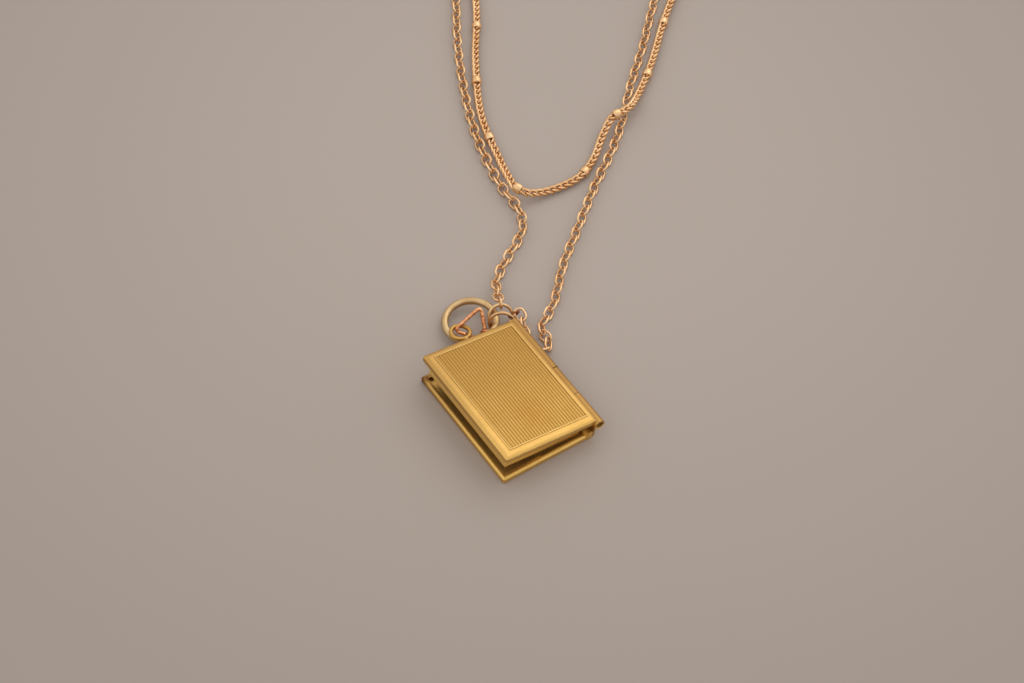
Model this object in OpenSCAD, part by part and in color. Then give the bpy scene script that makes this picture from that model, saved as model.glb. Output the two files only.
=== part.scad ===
// Book locket lying ajar on its back, with its two neck chains laid out on the same surface.
// X runs from the fore-edge to the spine, Y from the foot to the chain end, Z up.
// The origin is the centre of the back cover's outer face.

/* [Locket] */
// Height of the covers, from the foot to the chain end
cover_h = 26; // [25.6:0.1:26]
// Width of the covers, from the fore-edge to the spine
cover_w = 19; // [18.6:0.1:19.4]
// Thickness of the closed locket
closed_t = 4.75; // [4.6:0.05:4.9]
// Thickness of the sheet metal
sheet = 0.45; // [0.4:0.01:0.5]
// Angle at which the front cover stands open
rest_open = 7.25; // [5:0.25:10]

/* [Back cover] */
// Height of the back cover's rim above the surface
back_rim_h = 1.3; // [1.2:0.05:1.4]
// Width of the flat flange round the rim at the fore-edge
flange_w = 0.6; // [0.5:0.05:0.65]
// Width of the flat flange at both ends
end_flange_w = 0.65; // [0.6:0.05:0.7]
// Width of the groove inside the flange
groove_w = 0.12; // [0.1:0.01:0.15]
// Depth of the groove inside the flange
groove_d = 0.25; // [0.2:0.01:0.3]
// Width of the lip inside the groove at the fore-edge
lip_w = 0.14; // [0.12:0.01:0.15]
// Width of the lip at both ends
end_lip_w = 0.2; // [0.15:0.01:0.22]
// Rounding of the back cover's lower edges and of both covers' corners
edge_r = 0.35; // [0.25:0.05:0.4]
// Width of the rounding over the back cover's rim
rim_round_w = 0.5; // [0.4:0.05:0.55]
// Radius of the rolled edge along the spine
curl_r = 0.95; // [0.9:0.01:1]
// Thickness of the wall between the rolled edge and the hinge
spine_wall = 0.35; // [0.3:0.01:0.4]

/* [Front cover] */
// Height of the front cover's rim, its plate included
front_rim_h = 1.1; // [1:0.05:1.2]
// Width of the sloping band along the front cover's edges
slope_w = 0.85; // [0.7:0.05:0.9]
// Thickness of the box wall that shows between the covers
page_wall = 0.35; // [0.3:0.01:0.4]
// Distance of the box wall from the covers' fore-edge
page_inset = 1.05; // [1.05:0.01:1.15]
// Distance of the box wall from both ends of the covers
page_end_inset = 1.3; // [1.25:0.05:1.35]
// Height of the box wall above the back cover's floor when shut
page_gap = 0.12; // [0.1:0.01:0.2]
// Width of the plain border along the fore-edge
border_fore = 1.7; // [1.5:0.05:1.9]
// Width of the plain border along the spine
border_spine = 0.8; // [0.7:0.05:0.9]
// Width of the plain border at the chain end
border_head = 1.2; // [1.1:0.05:1.3]
// Width of the plain border at the foot
border_foot = 1.55; // [1.4:0.05:1.7]
// Width of the raised line that frames the ribs
bead_w = 0.35; // [0.3:0.01:0.4]
// Height of the raised line above the plate
bead_h = 0.17; // [0.1:0.01:0.2]
// Number of ribs across the plate
rib_count = 28; // [24:1:30]
// Height of the ribs above the plate
rib_h = 0.09; // [0.06:0.01:0.12]

/* [Hinge] */
// Outer radius of the front cover's knuckles
barrel_r = 1; // [0.96:0.01:1]
// Radius of the hinge pin
pin_r = 0.55; // [0.5:0.01:0.56]
// Running clearance round the hinge pin
pin_fit = 0.07; // [0.05:0.01:0.09]
// Gap between neighbouring knuckles
knuckle_gap = 0.12; // [0.1:0.01:0.15]
// Depth of each pin end inside the barrel
pin_recess = 1.2; // [1:0.1:1.5]
// Length of barrel that stands out past the covers at the foot
barrel_end = 0.6; // [0.4:0.1:0.7]

/* [Bail and rings] */
// Radius of the eye's centre line
eye_r = 1.7; // [1.68:0.01:1.72]
// Radius of the eye's wire
eye_wire = 0.4; // [0.36:0.01:0.41]
// Radius of the large ring's centre line
large_r = 4.6; // [4.58:0.01:4.62]
// Radius of the large ring's wire
large_wire = 0.66; // [0.6:0.01:0.67]
// Side of the triangular link, measured to its sharp corners
triangle_side = 6.6; // [6.58:0.01:6.62]
// Radius of the triangular link's wire
triangle_wire = 0.36; // [0.33:0.01:0.37]
// Radius of both jump rings' centre lines
jump_r = 2.2; // [2.19:0.01:2.21]
// Radius of both jump rings' wire
jump_wire = 0.31; // [0.28:0.01:0.32]
// Radius of the connector ring's centre line
connector_r = 1.55; // [1.54:0.01:1.56]
// Radius of the connector ring's wire
connector_wire = 0.22; // [0.2:0.01:0.23]
// Radius of the small ring's centre line
small_r = 1; // [0.99:0.01:1.01]
// Radius of the small ring's wire
small_wire = 0.2; // [0.18:0.01:0.21]

/* [Chains] */
// Thickness of the cable chain's wire
link_wire = 0.42; // [0.4:0.01:0.43]
// Width of a cable link
link_w = 2.3; // [2.28:0.01:2.32]
// Distance from one cable link to the next
link_pitch = 2; // [1.99:0.01:2.02]
// Clearance between two linked wires
link_play = 0.13; // [0.12:0.01:0.14]
// Thickness of the fine beaded chain
fine_chain_d = 1.4; // [1.3:0.05:1.45]

/* [Clasp] */
// Length of the clasp's body
clasp_l = 9; // [8.8:0.1:9.2]
// Radius of the clasp's body
clasp_r = 1.5; // [1.4:0.05:1.6]
// Radius of the centre line of the clasp's eyes
clasp_eye_r = 2.4; // [2.38:0.01:2.42]
// Radius of the wire of the clasp's eyes
clasp_eye_wire = 0.4; // [0.36:0.01:0.42]

/* [Hidden] */
eps = 0.01;
smooth = 48;
gold = "#c9a052";
pale_gold = "#d8b878";
copper_gold = "#c08a55";

// The covers, shut
half_w = cover_w / 2;
half_h = cover_h / 2;
hinge_x = half_w + 0.45;
hinge_z = closed_t - barrel_r;
back_knuckle_r = barrel_r - 0.06;
plate_edge_x = half_w - 0.1;
rim_round_r = 1.12 * rim_round_w;
slope_r = 1.5 * slope_w;
page_x0 = -half_w + page_inset;
page_x1 = hinge_x - 1.65;
page_y = half_h - page_end_inset;
page_bevel = 0.15;
bore_r = pin_r + pin_fit;
curl_x = half_w - 0.9;

// Knuckle joints along the barrel, as shares of its length from the chain end
back_knuckle_from = 0.49;
back_knuckle_to = 0.745;
knuckle_y1 = half_h - cover_h * back_knuckle_from;
knuckle_y0 = half_h - cover_h * back_knuckle_to;

// Where the bail leaves the flange and carries its eye, which keeps its distance from the hinge
eye_x = hinge_x - 8.75;
eye_y = half_h + 3.7;
post_r = 0.45;
post_y = half_h - 0.46;
neck_z = 2.8;
lip_end_x = eye_x - 2.5;

// Places of the rings from below the eye: centre, tilt, turn of the tilt, turn in the ring's plane
eye_z = 2.7;
eye_tilt = 8;
bend_r = 0.55;
eye_place = [[0, 0, eye_z], eye_tilt, 52, 0];
large_place = [[3.35, 1.75, 1.8], 5.4, 162, 0];
triangle_place = [[2.9, -0.05, 2.5], 38.6, -95, 49];
connector_place = [[4.85, -2.25, 1.7], 68, 54, 0];
jump_1_place = [[8.45, -0.4, 2.05], 49.4, -110, 0];
jump_2_place = [[7.6, -1.9, 2.45], 75, -123.5, 0];
small_place = [[10.85, -1.1, 1.9], 72, 89, 0];

// The clasp, and the points where the chains hook its two eyes
clasp_at = [118.3, 160.8, 1.7];
clasp_turn = -10;
clasp_reach = clasp_l / 2 + clasp_eye_r - 0.3;
hook_slack = clasp_eye_wire + 0.12 - link_play / 2;
hook_z = 1.3;

// The chains' routes over the surface, hand-chosen, from the rings to the clasp, and measured from
// below the eye. A start row holds a joint and the roll of the link that leaves it.
lie_z = 0.92;
left_start = [[9.05, 0.55, 3.95, -88], [9.8, 2.25, 3.2, 5], [10.6, 3.95, 2.45, -75],
    [11.5, 5.6, 1.75, 25], [12.6, 7.15, 1.25, -60], [14, 8.55, 1, 38]];
left_route = [[15.6, 9.8, lie_z], [17.8, 11.2, lie_z], [24, 15.3, lie_z], [26.3, 19.9, lie_z],
    [26.7, 26.3, lie_z], [28.2, 33.8, lie_z], [31, 42.7, lie_z], [35.8, 53.5, lie_z],
    [41.6, 64.1, lie_z], [47.3, 73.1, lie_z], [55.8, 87.3, lie_z], [61.3, 103.3, lie_z],
    [67.8, 124.3, lie_z], [80.3, 144.8, lie_z], [96.8, 158.3, 1.1]];
right_start = [[12.05, -0.65, 1.8, 13], [11.75, -2.55, 1.5, -62], [10.9, -4.25, 1, 41],
    [10.2, -6.05, 1.05, -55], [9.6, -7.95, 1, 56], [10.25, -9.75, 1.05, -51], [12.05, -10.1, 1.1, 53],
    [13.3, -8.7, 1.05, -51], [13.15, -6.75, 1.05, 51]];
right_route = [[14.2, -5.1, lie_z], [19.2, -1.9, lie_z], [25.6, 4.4, lie_z], [32.7, 10, lie_z],
    [41.5, 16.9, lie_z], [49.7, 22.7, lie_z], [56, 27.9, lie_z], [63.3, 35.1, lie_z], [72.3, 43, lie_z],
    [82.1, 52.3, lie_z], [96.8, 63.8, lie_z], [113.8, 76.8, lie_z], [131.3, 93.8, lie_z],
    [140.3, 115.3, lie_z], [139.3, 136.8, lie_z], [131.8, 151.3, 1.1]];
fine_z = 1;
fine_route = [[99.8, 154.3, fine_z], [83.8, 141.8, fine_z], [71.3, 122.3, fine_z], [62.8, 95.3, fine_z],
    [50.7, 71.1, fine_z], [41.2, 56.9, fine_z], [33.8, 43.8, fine_z], [30.1, 31.8, 1.2],
    [28.6, 26.7, 2.1], [28.1, 23.7, 2.5], [29.9, 21.4, 1.9], [34.3, 20.6, fine_z], [40.3, 20.5, fine_z],
    [45.5, 22.8, fine_z], [50.3, 26.5, 1.6], [54, 28.7, 2.65], [56.7, 28.8, 2.85], [59.2, 29.4, 2.65],
    [63.2, 32.2, 1.3], [70.8, 38.1, fine_z], [85.1, 50.5, fine_z], [115.8, 72.8, fine_z],
    [135.8, 91.8, fine_z], [144.3, 114.8, fine_z], [142.8, 138.8, fine_z], [133.8, 155.3, fine_z]];

// A smooth curve through a route's points
function before(p, i) = i > 0 ? p[i - 1] : 2 * p[0] - p[1];
function after(p, i) = i < len(p) ? p[i] : 2 * p[len(p) - 1] - p[len(p) - 2];
function blend(a, b, c, d, t) = b + t / 2 * ((c - a) + t * ((2 * a - 5 * b + 4 * c - d)
    + t * (3 * b - 3 * c + d - a)));
function curve(p, steps) = [for (i = [0 : len(p) - 2]) for (k = [0 : steps - 1])
    blend(before(p, i), p[i], p[i + 1], after(p, i + 2), k / steps), p[len(p) - 1]];

// Distance run along a curve at each of its points, and the point at a given distance
function runs(c) = [for (i = 0, s = 0; i < len(c); i = i + 1, s = i < len(c) ? s + norm(c[i] - c[i - 1]) : s) s];
function along(c, run, s) = [for (k = [0 : 2]) lookup(s, [for (i = [0 : len(c) - 1]) [run[i], c[i][k]]])];

// The joints between a cable's links, at equal distances along its route
function joint_points(route) = let (c = curve(route, 10), run = runs(c), l = run[len(run) - 1],
    n = round(l / link_pitch)) [for (i = [0 : n]) along(c, run, l * i / n)];

// The point where a chain hooks a clasp's eye, on the side and at the angle given
function hook_point(side, angle) = [clasp_at.x + side * clasp_reach * cos(clasp_turn)
    + (clasp_eye_r - hook_slack) * cos(angle), clasp_at.y + side * clasp_reach * sin(clasp_turn)
    + (clasp_eye_r - hook_slack) * sin(angle), hook_z];

// Roll of a link about its length: neighbours stand at right angles, leaning 45 degrees each way,
// and turn upright and flat as they near the clasp
easing = 0.72;
function lean(i) = i % 2 == 0 ? -45 : 45;
function roll(i, n) = lean(i) + lean(n - 1) * pow(easing, n - 1 - i);

link_run = link_pitch / 2 + (link_wire + link_play) / 2;
link_bend = (link_w - link_wire) / 2;

// Turn that points the X axis along a direction
function heading(d) = [0, -asin(d.z / norm(d)), atan2(d.y, d.x)];

module below_eye() {
    translate([eye_x, eye_y, 0]) children();
}

module placed(place) {
    below_eye() translate(place[0]) rotate([0, 0, place[2]]) rotate([0, place[1], 0]) rotate([0, 0, place[3]]) children();
}

module ring(r, wire) {
    rotate_extrude($fn = smooth) translate([r, 0]) circle(r = wire, $fn = 24);
}

// A wire bend round the Z axis, centred on the X axis
module bend(r, wire, angle) {
    rotate([0, 0, -angle / 2]) rotate_extrude(angle = angle, $fn = smooth) translate([r, 0])
        circle(r = wire, $fn = 24);
}

module rod(l, r) {
    translate([-l / 2, 0, 0]) rotate([0, 90, 0]) cylinder(h = l, r = r, $fn = 24);
}

// One oval link, its length along X
module oval_link() {
    straight = link_pitch + link_wire + link_play - 2 * link_bend;
    for (side = [0, 180]) rotate([0, 0, side]) translate([straight / 2, 0, 0])
        bend(link_bend, link_wire / 2, 180);
    for (side = [-1, 1]) translate([0, side * link_bend, 0]) rod(straight, link_wire / 2);
}

module link_between(a, b, turn) {
    translate((a + b) / 2) rotate(heading(b - a)) rotate([turn, 0, 0]) oval_link();
}

// A strand: the links that leave the rings, each row its joint and roll, then those along the route
module cable(start, route) {
    q = concat([for (row = start) [row.x, row.y, row.z]], joint_points(route));
    n = len(q) - 1;
    led = len(start);
    for (i = [0 : n - 1]) link_between(q[i], q[i + 1], i < led ? start[i][3] : roll(i - led, n - led));
}

// A profile drawn across the covers, extruded along them, and the same the other way
module along_y(l) {
    rotate([90, 0, 0]) linear_extrude(height = l, center = true) children();
}

module along_x(l) {
    rotate([90, 0, 90]) linear_extrude(height = l, center = true) children();
}

// Area right of x = 0 and above y = 0, its corner rounded over the width w by a circle of radius r
module rounded_corner(w, r) {
    reach = 2 * cover_w;
    intersection() {
        square([w, r]);
        translate([w, r]) circle(r = r, $fn = smooth);
    }
    translate([w, 0]) square([reach, reach]);
    translate([0, r]) square([reach, reach]);
}

// A block from x0 to x1 whose edge has the same profile on three sides
module dished_block(x0, x1, h) {
    intersection() {
        along_y(cover_h + 2) translate([x0, 0]) children();
        along_x(3 * cover_w) intersection() {
            translate([-half_h, 0]) children();
            mirror([1, 0]) translate([-half_h, 0]) children();
        }
        linear_extrude(height = h) union() {
            translate([x0 + edge_r, -half_h]) square([x1 - x0 - edge_r, cover_h]);
            translate([x0, -half_h + edge_r]) square([x1 - x0, cover_h - 2 * edge_r]);
            for (side = [-1, 1]) translate([x0 + edge_r, side * (half_h - edge_r)])
                circle(r = edge_r, $fn = smooth);
        }
    }
}

module knuckle(y0, y1, r) {
    translate([hinge_x, y1, hinge_z]) rotate([90, 0, 0]) cylinder(h = y1 - y0, r = r, $fn = smooth);
}

module hinge_bore() {
    knuckle(-half_h - barrel_end - 1, half_h + 1, bore_r);
}

// The back cover

module groove_outline(inset) {
    translate([-half_w + flange_w + inset, -half_h + end_flange_w + inset])
        square([cover_w, cover_h - 2 * end_flange_w - 2 * inset]);
}

module back_tray() {
    pocket_x = -half_w + flange_w + groove_w + lip_w;
    pocket_y = half_h - end_flange_w - groove_w - end_lip_w;
    difference() {
        dished_block(-half_w, curl_x, back_rim_h) intersection() {
            rounded_corner(edge_r, edge_r);
            translate([0, back_rim_h]) mirror([0, 1]) rounded_corner(rim_round_w, rim_round_r);
        }
        translate([pocket_x, -pocket_y, sheet]) cube([cover_w, 2 * pocket_y, closed_t]);
        translate([0, 0, back_rim_h - groove_d]) linear_extrude(height = closed_t) difference() {
            groove_outline(0);
            groove_outline(groove_w);
        }
        translate([lip_end_x, -half_h + end_flange_w, sheet]) cube([cover_w, end_lip_w + 1, closed_t]);
    }
}

module spine_profile() {
    top = hinge_z - barrel_r - 0.15;
    foot = curl_r + 0.25;
    out = hinge_x - 0.25;
    polygon([[curl_x + 0.5, foot - 0.3], [half_w - 0.03, foot], [out, top], [out - spine_wall, top],
        [half_w - 0.03 - spine_wall, foot]]);
}

module knuckle_web() {
    out = hinge_x - 0.25;
    base = hinge_z - barrel_r - 0.3;
    translate([0, (knuckle_y0 + knuckle_y1) / 2, 0]) along_y(knuckle_y1 - knuckle_y0 - knuckle_gap)
        polygon([[out - spine_wall, base], [out, base], [out, hinge_z - 0.6], [out - spine_wall, hinge_z - 0.4]]);
}

module bail() {
    foot_z = sheet + 0.3;
    near_y = eye_y - eye_r;
    near_z = eye_z + eye_r * sin(eye_tilt) * sin(eye_place[2]);
    rise = atan2(near_z - neck_z, near_y - post_y);
    reach = norm([near_z - neck_z, near_y - post_y]);
    translate([eye_x, post_y, foot_z]) cylinder(h = neck_z - foot_z, r = post_r, $fn = 32);
    translate([eye_x, post_y, neck_z]) {
        sphere(r = post_r, $fn = 32);
        rotate([rise - 90, 0, 0]) cylinder(h = reach + eye_wire / 2, r = eye_wire, $fn = 32);
    }
    placed(eye_place) ring(eye_r, eye_wire);
}

module back_cover() {
    color(gold) difference() {
        union() {
            back_tray();
            translate([curl_x, half_h, curl_r]) rotate([90, 0, 0])
                cylinder(h = cover_h, r = curl_r, $fn = smooth);
            along_y(cover_h) spine_profile();
            knuckle(knuckle_y0 + knuckle_gap / 2, knuckle_y1 - knuckle_gap / 2, back_knuckle_r);
            knuckle_web();
            bail();
        }
        hinge_bore();
    }
}

// The front cover, drawn shut

module page_outline(inset) {
    x0 = page_x0 + inset;
    y = page_y - inset;
    translate([x0, -y]) square([page_x1 - x0, 2 * y]);
}

module page_walls() {
    low = sheet + page_gap;
    curl_top = 2 * curl_r + 0.15;
    difference() {
        translate([0, 0, low]) linear_extrude(height = closed_t - sheet / 2 - low) page_outline(0);
        translate([page_x0 + page_wall, -page_y + page_wall, 0])
            cube([cover_w, 2 * page_y - 2 * page_wall, closed_t]);
        translate([curl_x - curl_r - 0.15, -half_h, 0]) cube([cover_w, cover_h, curl_top]);
        along_y(cover_h) polygon([[page_x0 - eps, low - eps], [page_x0 + page_bevel, low - eps],
            [page_x0 - eps, low + 4 * page_bevel]]);
    }
}

module front_shell() {
    difference() {
        translate([0, 0, closed_t]) mirror([0, 0, 1]) dished_block(-half_w, plate_edge_x, front_rim_h)
            rounded_corner(slope_w, slope_r);
        translate([-half_w + sheet, -half_h + sheet, 0])
            cube([2 * cover_w, cover_h - 2 * sheet, closed_t - sheet]);
    }
}

module bead_frame() {
    x0 = -half_w + border_fore;
    x1 = plate_edge_x - border_spine;
    y0 = -half_h + border_foot;
    y1 = half_h - border_head;
    r = bead_w / 2;
    z = closed_t + bead_h - r;
    for (y = [y0, y1]) translate([(x0 + x1) / 2, y, z]) rod(x1 - x0, r);
    for (x = [x0, x1]) translate([x, (y0 + y1) / 2, z]) rotate([0, 0, 90]) rod(y1 - y0, r);
    for (x = [x0, x1]) for (y = [y0, y1]) translate([x, y, z]) sphere(r = r, $fn = 24);
}

module ribs() {
    x0 = -half_w + border_fore + bead_w / 2;
    x1 = plate_edge_x - border_spine - bead_w / 2;
    y0 = -half_h + border_foot;
    y1 = half_h - border_head;
    steps = 6 * rib_count;
    wave = [for (i = [0 : steps]) [x0 + (x1 - x0) * i / steps, closed_t + rib_h * pow(sin(30 * i), 2)]];
    translate([0, (y0 + y1) / 2, 0]) along_y(y1 - y0)
        polygon(concat(wave, [[x1, closed_t - 0.1], [x0, closed_t - 0.1]]));
}

module leaf() {
    drop = 0.12;
    translate([plate_edge_x - 0.5, -half_h, closed_t - drop - 0.3])
        cube([hinge_x - plate_edge_x + 0.5, cover_h, 0.3]);
}

module front_cover() {
    notch_r = back_knuckle_r + knuckle_gap;
    color(gold) translate([hinge_x, 0, hinge_z]) rotate([0, rest_open, 0]) translate([-hinge_x, 0, -hinge_z])
        difference() {
            union() {
                difference() {
                    union() {
                        front_shell();
                        leaf();
                    }
                    knuckle(knuckle_y0 - knuckle_gap / 2, knuckle_y1 + knuckle_gap / 2, notch_r);
                }
                page_walls();
                bead_frame();
                ribs();
                knuckle(knuckle_y1 + knuckle_gap / 2, half_h, barrel_r);
                knuckle(-half_h - barrel_end, knuckle_y0 - knuckle_gap / 2, barrel_r);
            }
            hinge_bore();
        }
}

module hinge_pin() {
    color("#7d5c34") knuckle(pin_recess - half_h - barrel_end, half_h - pin_recess, pin_r);
}

// The rings between the bail and the chains

module large_ring() {
    color(pale_gold) placed(large_place) ring(large_r, large_wire);
}

module triangle_link() {
    corner = triangle_side / sqrt(3) - 2 * bend_r;
    side = triangle_side - 2 * bend_r * tan(60);
    middle = triangle_side / (2 * sqrt(3));
    color(copper_gold) placed(triangle_place) for (turn = [90 : 120 : 330]) rotate([0, 0, turn]) {
        translate([corner, 0, 0]) bend(bend_r, triangle_wire, 120);
        translate([-middle, 0, 0]) rotate([0, 0, 90]) rod(side, triangle_wire);
    }
}

module connector_ring() {
    color(copper_gold) placed(connector_place) ring(connector_r, connector_wire);
}

module jump_ring_1() {
    color(pale_gold) placed(jump_1_place) ring(jump_r, jump_wire);
}

module jump_ring_2() {
    color(pale_gold) placed(jump_2_place) ring(jump_r, jump_wire);
}

module small_ring() {
    color(copper_gold) placed(small_place) ring(small_r, small_wire);
}

// The two chains and the clasp that they share

module cable_chain() {
    color(pale_gold) below_eye() {
        cable(left_start, concat(left_route, [hook_point(-1, 175)]));
        cable(right_start, concat(right_route, [hook_point(1, -62)]));
    }
}

// A round band swept through the stations of a route
module tube(route, r, steps) {
    c = curve(route, steps);
    last = len(c) - 1;
    sides = 8;
    points = [for (i = [0 : last]) let (d = c[min(i + 1, last)] - c[max(i - 1, 0)], f = d / norm(d),
        across = cross([0, 0, 1], f) / norm(cross([0, 0, 1], f)), up = cross(f, across))
        for (k = [0 : sides - 1]) c[i] + r * (cos(45 * k) * across + sin(45 * k) * up)];
    walls = [for (i = [0 : last - 1]) for (k = [0 : sides - 1]) let (n = (k + 1) % sides)
        [i * sides + k, i * sides + n, (i + 1) * sides + n, (i + 1) * sides + k]];
    polyhedron(points = points, faces = concat([[for (k = [0 : sides - 1]) k]], walls,
        [[for (k = [0 : sides - 1]) last * sides + sides - 1 - k]]));
}

module fine_chain() {
    left_hook = hook_point(-1, 220);
    right_hook = hook_point(1, -18);
    left_out = fine_route[0] - left_hook;
    right_out = fine_route[len(fine_route) - 1] - right_hook;
    left_ahead = left_out / norm(left_out);
    right_ahead = right_out / norm(right_out);
    tube_from = link_pitch / 2 + link_run - 0.1;
    color(pale_gold) below_eye() {
        tube(concat([left_hook + tube_from * left_ahead], fine_route, [right_hook + tube_from * right_ahead]),
            fine_chain_d / 2, 3);
        link_between(left_hook, left_hook + link_pitch * left_ahead, 90);
        link_between(right_hook, right_hook + link_pitch * right_ahead, 90);
    }
}

module clasp() {
    color(pale_gold) below_eye() translate(clasp_at) rotate([0, 0, clasp_turn]) {
        rod(clasp_l, clasp_r);
        for (side = [-1, 1]) translate([side * clasp_reach, 0, hook_z - clasp_at.z])
            ring(clasp_eye_r, clasp_eye_wire);
    }
}

front_cover();
back_cover();
hinge_pin();
large_ring();
triangle_link();
connector_ring();
jump_ring_1();
jump_ring_2();
small_ring();
cable_chain();
fine_chain();
clasp();
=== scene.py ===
"""Looks of the book locket: smooth wire chains and rings, metal finishes, studio and camera.

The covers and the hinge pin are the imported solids, which get procedural metal finishes here.
Rings, clasp and chains are made again as smooth round wire, in the places that the solids have.
Lengths are in millimetres inside the classes, and turn into metres when a mesh is made.
"""

import logging
import math
from dataclasses import dataclass, field, replace
from enum import Enum
from typing import Any, Union

import bpy
import numpy as np
from mathutils import Matrix, Vector


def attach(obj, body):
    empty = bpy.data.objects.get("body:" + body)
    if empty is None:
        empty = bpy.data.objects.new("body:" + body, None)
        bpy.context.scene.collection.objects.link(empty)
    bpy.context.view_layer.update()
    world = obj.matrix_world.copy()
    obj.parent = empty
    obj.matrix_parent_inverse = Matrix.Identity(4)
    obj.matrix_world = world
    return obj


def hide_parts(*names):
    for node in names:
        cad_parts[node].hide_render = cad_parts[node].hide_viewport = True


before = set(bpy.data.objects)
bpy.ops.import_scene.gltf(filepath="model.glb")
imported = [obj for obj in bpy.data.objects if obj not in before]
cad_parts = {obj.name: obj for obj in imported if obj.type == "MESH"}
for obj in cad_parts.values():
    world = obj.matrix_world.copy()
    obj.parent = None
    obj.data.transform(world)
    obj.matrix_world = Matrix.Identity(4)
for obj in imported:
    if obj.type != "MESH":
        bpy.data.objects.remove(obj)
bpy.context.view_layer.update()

MM = 0.001
UPWARD = np.array([0.0, 0.0, 1.0])
MIDDLE_TONE = 0.5

Array = np.ndarray
Pair = tuple[float, float]
Triple = tuple[float, float, float]
Four = tuple[float, float, float, float]

log = logging.getLogger("book_locket")


class Body(Enum):
    """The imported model's bodies that the new pieces ride on."""

    BACK = "locket_back"


class Slot(Enum):
    """Names of the record's material slots, listed with the new pieces."""

    RING = "ring_gold"
    COPPER = "copper_gold"
    CHAIN = "chain_gold"


# Colours and small sums

# The screen's standard curve: a straight line up to the knee, a power above it
CURVE_KNEE = 0.04045
CURVE_SLOPE = 12.92
CURVE_OFFSET = 0.055
CURVE_POWER = 2.4


def linear(red: float, green: float, blue: float) -> Four:
    """Turns a screen colour into the linear colour that a shader takes.

    Args:
        red: Red from 0 to 255.
        green: Green from 0 to 255.
        blue: Blue from 0 to 255.

    Returns:
        The linear colour with an alpha of 1.
    """
    shares = np.array([red, green, blue]) / 255
    curved = ((shares + CURVE_OFFSET) / (1 + CURVE_OFFSET)) ** CURVE_POWER
    light = np.where(shares <= CURVE_KNEE, shares / CURVE_SLOPE, curved)
    return (float(light[0]), float(light[1]), float(light[2]), 1.0)


def turn_matrices(roll: Array, rise: Array, heading: Array) -> Array:
    """Builds one rotation for each place: a roll about X, then a rise of X, then a heading about Z.

    Args:
        roll: Angles about the length, in radians.
        rise: Angles of the length above the level, in radians.
        heading: Angles about Z, in radians.

    Returns:
        An array of 3 by 3 matrices, one for each place.
    """
    zero, one = np.zeros_like(roll), np.ones_like(roll)
    about_x = np.array([[one, zero, zero], [zero, np.cos(roll), -np.sin(roll)],
                        [zero, np.sin(roll), np.cos(roll)]])
    about_y = np.array([[np.cos(rise), zero, -np.sin(rise)], [zero, one, zero],
                        [np.sin(rise), zero, np.cos(rise)]])
    about_z = np.array([[np.cos(heading), -np.sin(heading), zero],
                        [np.sin(heading), np.cos(heading), zero], [zero, zero, one]])
    return np.einsum("ijn,jkn,kln->nil", about_z, about_y, about_x)


# Objects, and meshes worked out as whole arrays


def added(name: str, data: bpy.types.ID) -> bpy.types.Object:
    """Adds an object to the scene.

    Args:
        name: Name of the object.
        data: Its mesh, light or camera.

    Returns:
        The new object.
    """
    obj = bpy.data.objects.new(name, data)
    bpy.context.scene.collection.objects.link(obj)
    return obj


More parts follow.
